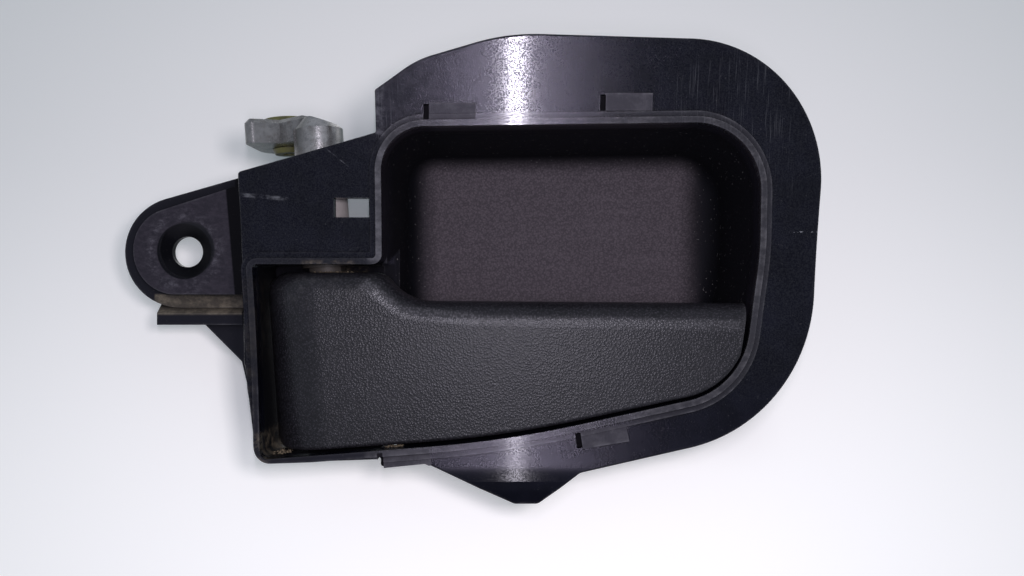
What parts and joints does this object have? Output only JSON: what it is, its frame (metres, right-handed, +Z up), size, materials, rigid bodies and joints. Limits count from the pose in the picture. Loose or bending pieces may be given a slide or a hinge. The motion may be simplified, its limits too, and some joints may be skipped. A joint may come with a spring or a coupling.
{
  "type": "car interior door handle",
  "caption": "Moulded car door inner handle: a finger scoop with a rolled flange, a sprung pull lever on a leaning shaft, a cast crank for the latch cable and a screw ear.",
  "frame": {"origin": "centre of the fixing ear's screw hole, at the foot of its countersink", "axes": "+X along the handle from the ear to the scoop, +Y into the door, +Z up; people face it from -Y"},
  "size_m": [0.1491, 0.0336, 0.0924],
  "materials": {
    "housing_plastic": "fine satin grain",
    "lever_plastic": "coarse pebble grain",
    "zinc_casting": "as cast, slightly dull",
    "bush_plastic": "smooth",
    "spring_steel": "drawn wire",
    "clip_steel": "stamped"
  },
  "bodies": {
    "frame": {"housing": "housing_plastic", "return_spring": "spring_steel"},
    "lever": {"pull_lever": "lever_plastic", "crank_shaft": "zinc_casting", "shaft_clip": "clip_steel"},
    "bush": {"cable_bush": "bush_plastic"}
  },
  "joints": [
    {"name": "lever_pull", "type": "hinge", "parent": "frame", "child": "lever", "pos_m": [0.0325, -0.008, 0], "axis": [0.0698, 0, -0.9976], "range_deg": [0, 30], "stiffness_Nm_per_rad": 1.3, "springref_deg": -15.47, "deforming": ["return_spring"]},
    {"name": "bush_swivel", "type": "hinge", "parent": "lever", "child": "bush", "pos_m": [0.02167, 0.0024, 0.02581], "axis": [-0.0698, 0, 0.9976], "continuous": true}
  ]
}
